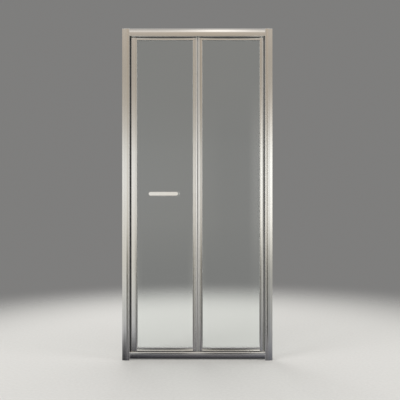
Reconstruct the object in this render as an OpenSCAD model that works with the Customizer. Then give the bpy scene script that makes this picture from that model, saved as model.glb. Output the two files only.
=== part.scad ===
// Framed bifold shower door for a recess between two walls.
// Millimetres. The origin is at the middle of the sill's underside, in the
// plane of the leaves. +X is to the right as seen from the room, +Y points
// into the shower and +Z is up. The right leaf turns at its jamb, the left
// leaf runs in the tracks, and the middle of the door folds into the shower.
// The left-hand pieces are drawn at the right and mirrored.

/* [Door] */
// Overall width from wall to wall
door_w = 860; // [700:10:1200]
// Overall height above the shower tray
door_h = 1900; // [1500:10:2300]

/* [Jambs] */
// Depth of the jambs and header in front of the leaf plane
frame_front = 34; // [30:1:42]
// Depth of the jambs and header behind the leaf plane
frame_back = 26; // [24:1:34]
// Width of a jamb on its front face
jamb_face = 30; // [27:1:38]
// Wall channel left in view beside the wall
channel_reveal = 12; // [8:1:16]
// Width of the rounded bead along the jamb's opening edge
bead_w = 6; // [5:0.5:8]
// Rise of the jamb's gently rounded front face
face_crown = 1.2; // [0.6:0.2:1.6]
// Wall thickness of the frame extrusions
frame_wall = 2; // [1.6:0.2:2.4]
// Depth that the wall channel reaches out from the wall
channel_d = 30; // [26:1:34]
// Thickness of the moulded caps on the jamb tops
cap_t = 2; // [1.5:0.5:3]

/* [Header and sill] */
// Height of the header
header_h = 44; // [40:1:54]
// Radius of the roll in the upper part of the header's front
header_roll = 45; // [38:1:60]
// Height of that roll
header_roll_h = 23; // [16:1:26]
// Radius of the header's upper front edge
header_round = 3; // [3:0.5:5]
// Height of the sill
sill_h = 45; // [40:1:56]
// Width of the sill's hollow in front of its track
sill_front_hollow = 5.8; // [4.8:0.2:11.8]
// Width of the sill's hollow behind its track
sill_back_hollow = 9.8; // [7.8:0.2:17.8]
// Radius under the sill's front edge
sill_curl = 12; // [6:1:14]
// Width of the roller tracks in the header and sill
track_w = 20.4; // [17:0.2:26]
// Depth of the roller tracks
track_d = 18; // [17:1:22]
// Number of drain slots in the sill
drain_n = 4; // [2:1:6]

/* [Leaves] */
// Thickness of both leaves
leaf_t = 22; // [21:0.5:27]
// Gap above and below the leaves
run_gap = 4.2; // [4:0.2:8]
// Gap between a leaf and its jamb
jamb_gap = 6.5; // [6.5:0.5:10]
// Width of the leading leaf's outer stile
lead_stile_w = 32; // [28:1:44]
// Distance from the pivot axis to the pivot stile's edge at the glass
pivot_to_glass = 12.5; // [11.5:0.5:25]
// Width of the hollow in the stiles at the centre hinge, for the screw heads
hinge_chamber_w = 3; // [2:0.1:13]
// Height of the top rails
top_rail_h = 12.6; // [12.2:0.2:24]
// Height of the bottom rails
bottom_rail_h = 17; // [16.4:0.2:30]
// Wall thickness of the leaf extrusions
leaf_wall = 1.6; // [1.4:0.1:2]
// Height of the bottom rails' sloped lower part
rail_step = 6; // [5:0.5:9]
// Set-back of the bottom rails' upper part behind their sloped lower part
rail_slope = 1.4; // [0.8:0.2:1.8]
// How far the bottom rails' faces draw in from the glass down to that sloped part
rail_tuck = 0.3; // [0:0.1:0.5]
// Lean of the top rails' faces back towards the glass
rail_lean = 0.8; // [0.4:0.2:1.4]
// Distance of the fine groove in an outer stile from the edge at the glass
stile_line = 8; // [7.5:0.5:10]
// Thickness of the glass
glass_t = 6; // [4:1:8]
// Depth of the glazing slots
bite = 5; // [4:0.5:8]
// Width of the glazing slots
slot_w = 15.2; // [13:0.2:16]
// Part of the gasket that shows beside the stiles and rails
gasket_lip = 2.2; // [1:0.2:4]

/* [Centre hinge] */
// Thickness of the hinge strip between its two sockets
strip_web = 2; // [1.2:0.1:4]
// Distance of the hinge axes in front of the leaf plane
hinge_setback = 5; // [4:0.5:5]
// Radius of the nose on each hinge stile
nose_r = 6.2; // [5.2:0.1:7.6]
// Thickness of the neck that carries each nose
neck_t = 6; // [4:0.5:6]
// Wall of the hinge strip's sockets
strip_wall = 1.4; // [1:0.1:1.6]
// Diameter of the hinge pins
hinge_pin_d = 5; // [4:0.5:6]
// Length of a hinge pin inside its stile
hinge_pin_grip = 50; // [30:5:80]
// Thickness of the steel hinge links
link_t = 2; // [1.5:0.25:2.25]

/* [Pivots and guides] */
// Diameter of the pivot pins
pivot_pin_d = 7; // [5:0.5:8]
// Diameter of the guide pins
guide_pin_d = 6; // [4:0.5:7]
// Length of a pivot or guide pin inside its stile
pin_grip = 26; // [18:1:40]
// Width of the guide rollers
roller_w = 8; // [6:0.5:9]
// Length of the plugs in the stile ends
plug_l = 30; // [22:1:50]

/* [Handle] */
// Distance of the handle's middle from the middle of its pane, towards the jamb
handle_off = 5.25; // [-38:0.25:52]
// Height of the handle's middle above the tray
handle_z = 952.6; // [800:0.2:1200]
// Length of the handle bars
handle_l = 170; // [140:5:220]
// Height of the handle bars
handle_h = 26; // [22:1:32]
// Thickness of the handle bars
handle_t = 12; // [8:1:14]
// Distance from the leaf plane to the back of a handle bar
handle_reach = 24; // [20:1:26]
// Distance between the two posts of a handle bar
post_spacing = 128; // [90:2:160]
// Diameter of the handle posts
post_d = 18; // [14:1:22]
// Diameter of the handle's through bolts
handle_bolt_d = 6; // [5:0.5:8]

/* [Fixings] */
// Distance of the outer screws that hold a jamb to its channel from the jamb's ends
fixing_end = 190; // [100:10:300]
// Diameter of the wall fixing holes
wall_hole_d = 5.5; // [4.5:0.5:6.5]
// Height of the lowest and depth of the highest wall fixing hole
wall_hole_end = 140; // [100:10:250]
// Diameter of the screws that join the frame
frame_screw_d = 4; // [3.5:0.1:4.8]
// Diameter of the screws that join the leaves
leaf_screw_d = 3; // [2.5:0.1:3.4]
// Distance of the leaf screws from the leaf plane
leaf_screw_y = 5.5; // [5:0.1:6]

/* [Hidden] */
$fn = 48;

// Clearances: seated pieces, shafts that run and screws in their ports
fit = 0.3;
run_fit = 0.05;

// Frame planes, right half
wall_x = door_w / 2;
jamb_end = wall_x - channel_reveal;
jamb_in = jamb_end - jamb_face;
jamb_top = door_h - cap_t;
header_z = door_h - header_h;
leg_t = 3;
pocket_front = -frame_front + leg_t;
pocket_back = frame_back - frame_wall;
sill_front = track_w / 2 + sill_front_hollow + 2 * frame_wall;
sill_back = track_w / 2 + sill_back_hollow + 2 * frame_wall;

// Leaf planes, right half
leaf_edge = jamb_in - jamb_gap;
pivot_x = leaf_edge - leaf_t / 2;
pivot_stile_w = leaf_t / 2 + pivot_to_glass;
leaf_z0 = sill_h + run_gap;
leaf_z1 = header_z - run_gap;
split_gap = 2;
groove_w = 1.5;
groove_chamfer = 3.2;
nose_wall = leaf_wall + 0.6;
hinge_x = nose_r + fit + strip_web / 2;
hinge_spacing = 2 * hinge_x;
body_x = hinge_x + nose_r + groove_w;
hinge_stile_w = body_x - split_gap / 2 + nose_wall + hinge_chamber_w + leaf_wall + bite;
hinge_day = split_gap / 2 + hinge_stile_w;
pivot_day = leaf_edge - pivot_stile_w;
lead_day = leaf_edge - lead_stile_w;
day_z0 = leaf_z0 + bottom_rail_h;
day_z1 = leaf_z1 - top_rail_h;

// Centre hinge
hinge_y = -hinge_setback;
socket_r = nose_r + fit;
strip_r = socket_r + strip_wall;
relief_r = strip_r + 0.4;
flange_y = hinge_y + relief_r + 1.2;
link_gap = 0.5;
link_eye_r = hinge_pin_d / 2 + 2.7;
link_bar_w = 8;
pin_head_r = hinge_pin_d / 2 + 1.5;
pin_head_t = 0.8;
pin_head_gap = 0.1;

// Slots for the magnets and the jamb seal
slot_neck_w = 6;
slot_neck_d = 1.8;
slot_head_w = 10;
slot_head_d = 2.2;
slot_d = slot_neck_d + slot_head_d;
strip_face_w = 12;
magnet_gap = 0.6;
jamb_magnet_t = 3;

// Slot and fin of the drip seals
drip_y = 5;
drip_neck_w = 2.4;
drip_neck_d = 1.6;
drip_head_w = 4.8;
drip_head_d = 1.8;
drip_wall = 2.4;
drip_gap = 0.7;
drip_tip_y = track_w / 2 + 0.4;
drip_tip_w = 1.2;

// Screw ports of the header and sill as [y, z, direction of the rib to the wall];
// the screw heads lie in the jambs' pockets
port_boss_r = frame_screw_d / 2 + 1.4;
port_in = frame_wall + port_boss_r - 0.6;
frame_head_r = frame_screw_d;
head_front = pocket_front + frame_head_r + fit;
head_back = pocket_back - frame_head_r - fit;
header_ports = [
    [head_front, header_z + port_in, -90],
    [head_back, jamb_top - frame_head_r - fit, 90]
];
sill_ports = [
    [-sill_front + port_in, sill_h / 2, 180],
    [min(head_back, sill_back - port_in), port_in, -45]
];
frame_screw_l = 22;
leaf_port_h = bite + leaf_wall + 2;
leaf_boss_r = leaf_screw_d / 2 + 1.3;
leaf_screw_l = 18;
leaf_head_r = leaf_screw_d / 2 + 1.3;
leaf_head_h = 1.6;

// Jamb fixing screws and their caps
fixing_x = wall_x - (channel_d + channel_reveal) / 2;
fixing_zs = [fixing_end, door_h / 2, door_h - fixing_end];
fixing_head_r = 4;
fixing_head_h = 2.2;
wall_hole_zs = [for (i = [0:3]) wall_hole_end + i * (door_h - 2 * wall_hole_end) / 3];

// Pivot blocks, rollers and stops
block_x0 = pivot_x - 12;
block_x1 = jamb_in - fit;
block_screw_x = block_x1 - 4.5;
block_half = track_w / 2 - fit;
roller_r = track_w / 2 - fit;
roller_gap = 4;
pin_depth = 12;
collar_r = 6.5;
stop_gap = 1.3;

// Handle
handle_x = (hinge_day + lead_day) / 2 + handle_off;
washer_t = 1;
glass_hole_r = handle_bolt_d / 2 + 3;
bolt_depth = 12;

// ---- shared forms ----

// Extrudes an outline drawn as (y, z) along X
module along_x(x0, x1) translate([x0, 0, 0]) rotate([90, 0, 90]) linear_extrude(x1 - x0) children();

// Extrudes an outline drawn as (x, z) along Y
module along_y(y0, y1) translate([0, y1, 0]) rotate([90, 0, 0]) linear_extrude(y1 - y0) children();

// Extrudes an outline drawn as (x, y) upwards
module along_z(z0, z1) translate([0, 0, z0]) linear_extrude(z1 - z0) children();

module on_left() mirror([1, 0, 0]) children();

// Rounds off a corner at the origin of an outline that fills the first quadrant
module corner_cut(r) {
    difference() {
        translate([-1, -1]) square(r + 1);
        translate([r, r]) circle(r = r);
    }
}

// Slot that opens at x = 0 and widens behind its neck
module t_slot(neck_w, neck_d, head_w, head_d) {
    translate([-1, -neck_w / 2]) square([neck_d + 1.5, neck_w]);
    translate([neck_d, -head_w / 2]) square([head_d, head_w]);
}

// Root of a strip that slides into such a slot
module t_root(neck_w, neck_d, head_w, head_d) {
    translate([-0.5, -neck_w / 2 + fit]) square([neck_d + fit + 1, neck_w - 2 * fit]);
    translate([neck_d + fit, -head_w / 2 + fit]) square([head_d - 2 * fit, head_w - 2 * fit]);
}

module wide_slot() t_slot(slot_neck_w, slot_neck_d, slot_head_w, slot_head_d);
module wide_root() t_root(slot_neck_w, slot_neck_d, slot_head_w, slot_head_d);

// Pan-head screw that points down, with its head's underside at z = 0
module screw(d, l, head_r, head_h) {
    translate([0, 0, -l]) cylinder(h = l, d = d);
    difference() {
        cylinder(h = head_h, r = head_r);
        translate([0, 0, head_h * 0.45]) cylinder(h = head_h, r = head_r * 0.5, $fn = 6);
    }
}

// ---- fixed frame ----

// U channel screwed to the wall, with four fixing holes in its web
module wall_channel() {
    front = pocket_front + fit;
    back = pocket_back - fit;
    difference() {
        along_z(0, jamb_top) difference() {
            translate([wall_x - channel_d, front]) square([channel_d, back - front]);
            translate([wall_x - channel_d - 1, front + frame_wall])
                square([channel_d - frame_wall + 1, back - front - 2 * frame_wall]);
        }
        for (z = wall_hole_zs)
            translate([wall_x - frame_wall - 1, 0, z]) rotate([0, 90, 0])
                cylinder(h = frame_wall + 2, d = wall_hole_d);
        for (z = fixing_zs)
            translate([fixing_x, back + 1, z]) rotate([90, 0, 0])
                cylinder(h = frame_wall + 2, d = frame_screw_d + 0.1);
    }
}
module wall_channel_left() color("silver") on_left() wall_channel();
module wall_channel_right() color("silver") wall_channel();

// Outline of a jamb: crowned front face, shadow groove, rounded bead, flat back
module jamb_outline() {
    crown_w = jamb_end - jamb_in - bead_w;
    crown_r = (pow(crown_w / 2, 2) + pow(face_crown, 2)) / (2 * face_crown);
    shoulder_y = -frame_front + face_crown;
    translate([jamb_in, shoulder_y]) square([jamb_end - jamb_in, frame_back - shoulder_y]);
    intersection() {
        translate([jamb_end - crown_w + 1, -frame_front - 1]) square([crown_w - 1, face_crown + 2]);
        translate([jamb_end - crown_w / 2, -frame_front + crown_r]) circle(r = crown_r, $fn = 180);
    }
    translate([jamb_in, -frame_front]) square([bead_w, face_crown + 0.5]);
}

module jamb_corners() {
    translate([jamb_in, -frame_front]) corner_cut(bead_w * 0.3);
    translate([jamb_in, frame_back]) mirror([0, 1]) corner_cut(1);
    translate([jamb_end, frame_back]) rotate(180) corner_cut(1);
}

module jamb_profile() {
    difference() {
        jamb_outline();
        difference() {
            translate([jamb_in + frame_wall, pocket_front])
                square([jamb_face, pocket_back - pocket_front]);
            translate([jamb_in, -slot_head_w / 2 - frame_wall])
                square([slot_d + frame_wall, slot_head_w + 2 * frame_wall]);
        }
        translate([jamb_in, 0]) wide_slot();
        jamb_corners();
    }
}

// Sleeve jamb over the wall channel, drilled for the header, sill and channel
module jamb() {
    difference() {
        along_z(0, jamb_top) jamb_profile();
        for (p = concat(header_ports, sill_ports))
            translate([jamb_in - 1, p[0], p[1]]) rotate([0, 90, 0])
                cylinder(h = frame_wall + 2, d = frame_screw_d + 0.4);
        for (z = fixing_zs)
            translate([fixing_x, frame_back + 1, z]) rotate([90, 0, 0])
                cylinder(h = frame_wall + 2, d = frame_screw_d + 0.4);
    }
}
module strike_jamb() color("gainsboro") on_left() jamb();
module pivot_jamb() color("gainsboro") jamb();

// Outline of the header, flat below and rolled back above, smaller by inset all round
module header_outline(inset) {
    front = -frame_front + inset;
    back = frame_back - inset;
    top = door_h - inset;
    roll = [-frame_front + header_roll, door_h - header_roll_h];
    roll_r = header_roll - inset;
    edge_z = door_h - header_round;
    reach = header_roll - header_round;
    edge = [roll[0] - sqrt(pow(reach, 2) - pow(edge_z - roll[1], 2)), edge_z];
    meet = roll + (edge - roll) * roll_r / reach;
    difference() {
        translate([front, header_z + inset]) square([back - front, top - header_z - inset]);
        difference() {
            translate([front - 1, roll[1]]) square([meet[0] - front + 1, meet[1] - roll[1] + 0.01]);
            translate(roll) circle(r = roll_r, $fn = 180);
        }
        difference() {
            polygon([meet, [front - 1, meet[1]], [front - 1, top + 1], [edge[0], top + 1], edge]);
            translate(edge) circle(r = header_round - inset);
        }
        translate([back, top]) rotate(180) corner_cut(4 - inset);
    }
}

// Round screw ports, each on a rib that joins it to the wall beside it
module port_bosses(ports) {
    for (p = ports) translate([p[0], p[1]]) {
        circle(r = port_boss_r);
        rotate(p[2]) translate([0, -1.2]) square([port_boss_r + 4, 2.4]);
    }
}
module port_bores(ports) {
    for (p = ports) translate([p[0], p[1]]) circle(d = frame_screw_d + 0.1);
}

// Hollow header with the track open below and screw ports above and beside it
module header_profile() {
    difference() {
        header_outline(0);
        translate([-frame_front, header_z]) corner_cut(1);
        translate([frame_back, header_z]) mirror([1, 0]) corner_cut(1);
        difference() {
            header_outline(frame_wall);
            translate([-track_w / 2 - frame_wall, header_z])
                square([track_w + 2 * frame_wall, track_d + frame_wall]);
            port_bosses(header_ports);
        }
        translate([-track_w / 2, header_z - 1]) square([track_w, track_d + 1]);
        port_bores(header_ports);
    }
}
module header_rail() {
    color("gainsboro") difference() {
        along_x(-jamb_in, jamb_in) header_profile();
        translate([block_screw_x, 0, header_z + track_d - 1])
            cylinder(h = frame_wall + 2, d = frame_screw_d + 0.1);
    }
}

module sill_outline(inset) {
    back = sill_back - inset;
    front = -sill_front + inset;
    difference() {
        translate([front, inset]) square([back - front, sill_h - 2 * inset]);
        translate([front, inset]) corner_cut(sill_curl - inset);
        translate([front, sill_h - inset]) mirror([0, 1]) corner_cut(5 - inset);
        translate([back, sill_h - inset]) rotate(180) corner_cut(4 - inset);
    }
}

// Hollow sill with the track open above
module sill_profile() {
    difference() {
        sill_outline(0);
        difference() {
            sill_outline(frame_wall);
            translate([-track_w / 2 - frame_wall, sill_h - track_d - frame_wall])
                square([track_w + 2 * frame_wall, track_d + frame_wall]);
            port_bosses(sill_ports);
        }
        translate([-track_w / 2, sill_h - track_d]) square([track_w, track_d + 1]);
        port_bores(sill_ports);
    }
}
module sill_rail() {
    drain_l = 20;
    drain_h = 4;
    drain_step = 2 * jamb_in / drain_n;
    color("gainsboro") difference() {
        along_x(-jamb_in, jamb_in) sill_profile();
        for (i = [0:drain_n - 1])
            translate([-jamb_in + (i + 0.5) * drain_step - drain_l / 2, track_w / 2 - 1, sill_h - track_d])
                cube([drain_l, sill_back - track_w / 2 + 2, drain_h]);
        translate([block_screw_x, 0, sill_h - track_d - frame_wall - 1])
            cylinder(h = frame_wall + 2, d = frame_screw_d + 0.1);
    }
}

// Moulded cap over a jamb and its wall channel, with a rim that drops inside
module jamb_cap() {
    rim_t = 1.6;
    rim_h = 10;
    rim_x0 = jamb_in + slot_d + frame_wall + 3;
    rim_x1 = wall_x - frame_wall - fit;
    rim_y0 = pocket_front + frame_wall + 2 * fit;
    rim_y1 = pocket_back - frame_wall - 2 * fit;
    along_z(jamb_top, door_h) {
        difference() {
            jamb_outline();
            jamb_corners();
        }
        translate([jamb_end - 1, pocket_front + fit])
            square([channel_reveal + 1, pocket_back - pocket_front - 2 * fit]);
    }
    along_z(jamb_top - rim_h, jamb_top + 0.5) difference() {
        translate([rim_x0, rim_y0]) square([rim_x1 - rim_x0, rim_y1 - rim_y0]);
        translate([rim_x0 + rim_t, rim_y0 + rim_t])
            square([rim_x1 - rim_x0 - 2 * rim_t, rim_y1 - rim_y0 - 2 * rim_t]);
    }
}
module jamb_top_caps() {
    color("lightgray") {
        jamb_cap();
        on_left() jamb_cap();
    }
}

// Screws through the jamb webs into the ports of the header and sill
module frame_screws() {
    color("slategray") for (side = [0, 1]) mirror([side, 0, 0])
        for (p = concat(header_ports, sill_ports))
            translate([jamb_in + frame_wall, p[0], p[1]]) rotate([0, 90, 0])
                screw(frame_screw_d, frame_screw_l, frame_head_r, 2.4);
}

module at_fixings() {
    for (side = [0, 1], z = fixing_zs) mirror([side, 0, 0])
        translate([fixing_x, frame_back, z]) rotate([-90, 0, 0]) children();
}
module jamb_fixing_screws() {
    color("slategray") at_fixings() screw(frame_screw_d, 8, fixing_head_r, fixing_head_h);
}

// Snap cap over a fixing screw's head
module screw_cap() {
    difference() {
        union() {
            cylinder(h = 3, r = fixing_head_r + 2.2);
            translate([0, 0, 3]) cylinder(h = 1, r1 = fixing_head_r + 2.2, r2 = fixing_head_r + 1);
        }
        translate([0, 0, -1]) cylinder(h = fixing_head_h + 1.3, r = fixing_head_r + fit);
    }
}
module jamb_screw_caps() color("lightgray") at_fixings() screw_cap();

module strike_magnet() {
    color("dimgray") on_left() along_z(sill_h + 1, header_z - 1) {
        translate([jamb_in, 0]) wide_root();
        translate([jamb_in - jamb_magnet_t, -strip_face_w / 2]) square([jamb_magnet_t, strip_face_w]);
    }
}

// Seal with a hollow bulb that runs beside the pivot stile's round edge
module pivot_jamb_seal() {
    bulb_r = 3.4;
    bulb_gap = 0.5;
    color("dimgray") along_z(sill_h + 1, header_z - 1) difference() {
        union() {
            translate([jamb_in, 0]) wide_root();
            translate([jamb_in - 2, -strip_face_w / 2]) square([2, strip_face_w]);
            translate([leaf_edge + bulb_gap + bulb_r, 0]) circle(r = bulb_r);
        }
        translate([leaf_edge + bulb_gap + bulb_r, 0]) circle(r = bulb_r - 1.1);
    }
}

module block_outline() translate([block_x0, -block_half]) square([block_x1 - block_x0, 2 * block_half]);

// Nylon block in the header track, bored for the top pivot pin
module top_pivot_block() {
    color("whitesmoke") difference() {
        along_z(header_z + fit, header_z + track_d) block_outline();
        translate([pivot_x, 0, header_z]) cylinder(h = pin_depth + 1, d = pivot_pin_d + 2 * run_fit);
        translate([block_screw_x, 0, header_z]) cylinder(h = track_d + 1, d = frame_screw_d + 0.1);
        translate([block_screw_x, 0, header_z - 1]) cylinder(h = 4, r = frame_screw_d + fit);
    }
}

// Nylon block in the sill track, with the socket that carries the pivot leaf
module bottom_pivot_block() {
    color("whitesmoke") difference() {
        along_z(sill_h - track_d, sill_h - 1) block_outline();
        translate([pivot_x, 0, sill_h - 1 - pin_depth - 1])
            cylinder(h = pin_depth + 2, d = pivot_pin_d + 2 * run_fit);
        translate([block_screw_x, 0, sill_h - track_d - 1])
            cylinder(h = track_d + 1, d = frame_screw_d + 0.1);
        translate([block_screw_x, 0, sill_h - 4]) cylinder(h = 4, r = frame_screw_d + fit);
    }
}
module pivot_block_screws() {
    color("slategray") {
        translate([block_screw_x, 0, header_z + 3]) rotate([180, 0, 0])
            screw(frame_screw_d, track_d, frame_screw_d, 2.4);
        translate([block_screw_x, 0, sill_h - 4]) screw(frame_screw_d, track_d - 1, frame_screw_d, 2.4);
    }
}

// Stops for the guide rollers at the strike end of both tracks
module track_stop(z0, z1) {
    x0 = pivot_x + roller_r + stop_gap;
    along_z(z0, z1) translate([x0, -block_half]) square([jamb_in - fit - x0, 2 * block_half]);
}
module top_track_stop() color("whitesmoke") on_left() track_stop(header_z + 3, header_z + track_d);
module bottom_track_stop() color("whitesmoke") on_left() track_stop(sill_h - track_d, sill_h - 3);

// ---- leaves ----

// Glazing slot of an outer stile, whose glass lies towards the middle
module outer_glazing_slot(day) translate([day - 1, -slot_w / 2]) square([bite + 1, slot_w]);

// Eased edges beside the glass and the fine groove on both faces of an outer stile
module stile_faces(day) {
    for (side = [0, 1]) mirror([0, side]) translate([day, -leaf_t / 2]) {
        corner_cut(0.8);
        translate([stile_line - 0.6, 0]) polygon([[-0.4, -1], [0, 0.6], [1.2, 0.6], [1.6, -1]]);
    }
}

// Holes for the screws into the rails, through a stile wall at the given x
module stile_screw_holes(x) {
    for (z = [day_z0 - leaf_port_h, day_z1 + leaf_port_h], side = [-1, 1])
        translate([x, side * leaf_screw_y, z]) rotate([0, 90, 0])
            cylinder(h = leaf_wall + 2, d = leaf_screw_d + 0.3);
}

module pivot_chamber(inset) {
    x0 = pivot_day + bite + leaf_wall + inset;
    half = leaf_t / 2 - leaf_wall - inset;
    intersection() {
        translate([x0, -half]) square([pivot_x + half - x0, 2 * half]);
        union() {
            translate([x0, -half]) square([pivot_x - x0, 2 * half]);
            translate([pivot_x, 0]) circle(r = half);
        }
    }
}

// Pivot stile, whose outer edge is round about the pivot axis
module pivot_stile() {
    color("gainsboro") difference() {
        along_z(leaf_z0, leaf_z1) difference() {
            union() {
                translate([pivot_day, -leaf_t / 2]) square([pivot_x - pivot_day, leaf_t]);
                translate([pivot_x, 0]) circle(r = leaf_t / 2);
            }
            outer_glazing_slot(pivot_day);
            pivot_chamber(0);
            stile_faces(pivot_day);
        }
        stile_screw_holes(pivot_day + bite - 1);
    }
}

lead_chamber_x1 = leaf_edge - slot_d - leaf_wall;
module lead_chamber(inset) {
    x0 = lead_day + bite + leaf_wall + inset;
    half = leaf_t / 2 - leaf_wall - inset;
    translate([x0, -half]) square([lead_chamber_x1 - inset - x0, 2 * half]);
}

// Outer stile of the leading leaf, with the magnet's slot in its edge
module lead_stile() {
    color("gainsboro") on_left() difference() {
        along_z(leaf_z0, leaf_z1) difference() {
            translate([lead_day, -leaf_t / 2]) square([lead_stile_w, leaf_t]);
            outer_glazing_slot(lead_day);
            lead_chamber(0);
            stile_faces(lead_day);
            translate([leaf_edge, 0]) mirror([1, 0]) wide_slot();
            translate([leaf_edge, -leaf_t / 2]) mirror([1, 0]) corner_cut(2);
            translate([leaf_edge, leaf_t / 2]) rotate(180) corner_cut(2);
        }
        stile_screw_holes(lead_day + bite - 1);
    }
}

// Corner of the hinge stile's body beside the nose, cut back to open the groove
module groove_corner(c) polygon([[-1, -1], [c + 1, -1], [-1, c + 1]]);

// Hinge stile: a hollow body, a rear flange that closes the joint from behind,
// and a round nose on a neck that turns in the hinge strip's socket
module hinge_stile_profile() {
    half = leaf_t / 2;
    chamber_x0 = body_x + nose_wall;
    chamber_x1 = hinge_day - bite - leaf_wall;
    difference() {
        union() {
            difference() {
                union() {
                    translate([body_x, -half]) square([hinge_day - body_x, leaf_t]);
                    translate([split_gap / 2, flange_y])
                        square([hinge_day - split_gap / 2, half - flange_y]);
                }
                translate([hinge_x, hinge_y]) circle(r = relief_r);
                translate([body_x, -half]) groove_corner(groove_chamfer);
                translate([hinge_day, -half]) mirror([1, 0]) corner_cut(0.8);
            }
            translate([hinge_x, hinge_y - neck_t / 2]) square([body_x + 1.2 - hinge_x, neck_t]);
            translate([hinge_x, hinge_y]) circle(r = nose_r);
        }
        translate([hinge_day - bite, -slot_w / 2]) square([bite + 1, slot_w]);
        difference() {
            translate([chamber_x0, -half + leaf_wall])
                square([chamber_x1 - chamber_x0, leaf_t - 2 * leaf_wall]);
            translate([chamber_x0, -half + leaf_wall]) groove_corner(groove_chamfer / 2);
        }
        translate([split_gap / 2 + leaf_wall, flange_y + leaf_wall])
            square([chamber_x0 - split_gap / 2 - leaf_wall + 0.5, half - flange_y - 2 * leaf_wall]);
        translate([hinge_x, hinge_y]) circle(d = hinge_pin_d + 2 * run_fit);
    }
}
module hinge_stile() {
    difference() {
        along_z(leaf_z0, leaf_z1) hinge_stile_profile();
        stile_screw_holes(hinge_day - bite - leaf_wall - 1);
    }
}
module pivot_hinge_stile() color("gainsboro") hinge_stile();
module lead_hinge_stile() color("gainsboro") on_left() hinge_stile();

// Outline of a rail as (y, h), with h measured from the glass edge outwards:
// drawn in by tuck to the set-back inset at slope_h, then sloping out
module rail_outline(h, inset, slope_h, tuck) {
    half = leaf_t / 2;
    brow = half - inset + tuck;
    polygon([
        [0.6 - brow, 0], [brow - 0.6, 0], [brow, 0.6], [half - inset, slope_h], [half, h - 1],
        [half - 0.3, h - 0.3], [half - 1, h], [1 - half, h], [0.3 - half, h - 0.3],
        [-half, h - 1], [inset - half, slope_h], [-brow, 0.6]
    ]);
}

module rail_profile(h, inset, slope_h, tuck = 0) {
    half = leaf_t / 2;
    floor_h = bite + leaf_wall;
    knee_h = max(slope_h, floor_h + 0.1);
    near = half - leaf_wall - inset;
    far = half - leaf_wall - inset * leaf_wall / (h - 1 - slope_h);
    difference() {
        rail_outline(h, inset, slope_h, tuck);
        translate([-slot_w / 2, -1]) square([slot_w, bite + 1]);
        difference() {
            polygon([
                [-near, floor_h], [near, floor_h], [near, knee_h], [far, h - leaf_wall],
                [-far, h - leaf_wall], [-near, knee_h]
            ]);
            for (side = [0, 1]) mirror([side, 0]) {
                translate([leaf_screw_y, leaf_port_h]) circle(r = leaf_boss_r);
                translate([leaf_screw_y, floor_h])
                    square([half - leaf_screw_y, leaf_port_h - floor_h + leaf_boss_r]);
            }
            children();
        }
        for (side = [-1, 1]) translate([side * leaf_screw_y, leaf_port_h]) circle(d = leaf_screw_d + 0.1);
    }
}
module top_rail(day) {
    along_x(hinge_day, day) translate([0, day_z1]) rail_profile(top_rail_h, rail_lean, 0.7);
}
module bottom_rail(day) {
    boss_w = drip_head_w + 2 * leaf_wall;
    boss_h = drip_neck_d + drip_head_d + drip_wall;
    along_x(hinge_day, day) translate([0, day_z0]) mirror([0, 1]) difference() {
        rail_profile(bottom_rail_h, rail_slope, bottom_rail_h - rail_step, rail_tuck)
            translate([drip_y - boss_w / 2, bottom_rail_h - boss_h]) square([leaf_t / 2, boss_h]);
        translate([drip_y, bottom_rail_h]) rotate(-90)
            t_slot(drip_neck_w, drip_neck_d, drip_head_w, drip_head_d);
    }
}
module pivot_top_rail() color("gainsboro") top_rail(pivot_day);
module pivot_bottom_rail() color("gainsboro") bottom_rail(pivot_day);
module lead_top_rail() color("gainsboro") on_left() top_rail(lead_day);
module lead_bottom_rail() color("gainsboro") on_left() bottom_rail(lead_day);

// Rectangle of the daylight opening, grown on every side
module day_rect(day, grow) {
    translate([hinge_day - grow, day_z0 - grow])
        square([day - hinge_day + 2 * grow, day_z1 - day_z0 + 2 * grow]);
}
glass_in = bite - 0.5;
module pane(day) along_y(-glass_t / 2, glass_t / 2) day_rect(day, glass_in);
module pivot_glass() color([0.75, 0.85, 0.82, 0.4]) pane(pivot_day);
module lead_glass() {
    color([0.75, 0.85, 0.82, 0.4]) on_left() difference() {
        pane(lead_day);
        at_posts() translate([0, 0, -glass_t]) cylinder(h = 2 * glass_t, r = glass_hole_r);
    }
}

// Channel gasket that wraps the edge of the glass all round
module gasket(day) {
    half = slot_w / 2 - fit;
    lip_half = half - 2;
    difference() {
        union() {
            along_y(-half, half) difference() {
                day_rect(day, bite - 0.2);
                day_rect(day, 0);
            }
            along_y(-lip_half, lip_half) difference() {
                day_rect(day, bite - 0.4);
                day_rect(day, -gasket_lip);
            }
        }
        along_y(-glass_t / 2, glass_t / 2) day_rect(day, glass_in);
    }
}
module pivot_glazing_gasket() color("lightgray") gasket(pivot_day);
module lead_glazing_gasket() color("lightgray") on_left() gasket(lead_day);

// Screws through the stile walls into the rail ports at a leaf's four corners
module leaf_screws(day) {
    for (z = [day_z0 - leaf_port_h, day_z1 + leaf_port_h], side = [-1, 1]) {
        translate([day + bite + leaf_wall, side * leaf_screw_y, z]) rotate([0, 90, 0])
            screw(leaf_screw_d, leaf_screw_l, leaf_head_r, leaf_head_h);
        translate([hinge_day - bite - leaf_wall, side * leaf_screw_y, z]) rotate([0, -90, 0])
            screw(leaf_screw_d, leaf_screw_l, leaf_head_r, leaf_head_h);
    }
}
module pivot_leaf_screws() color("slategray") leaf_screws(pivot_day);
module lead_leaf_screws() color("slategray") on_left() leaf_screws(lead_day);

// Plug outline left after the screw heads beside it are cleared
module plug_pockets(day) {
    for (side = [0, 1]) mirror([0, side])
        translate([day + bite, leaf_screw_y - leaf_head_r - 0.5])
            square([leaf_wall + leaf_head_h + 2 * fit, leaf_t / 2]);
}

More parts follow.
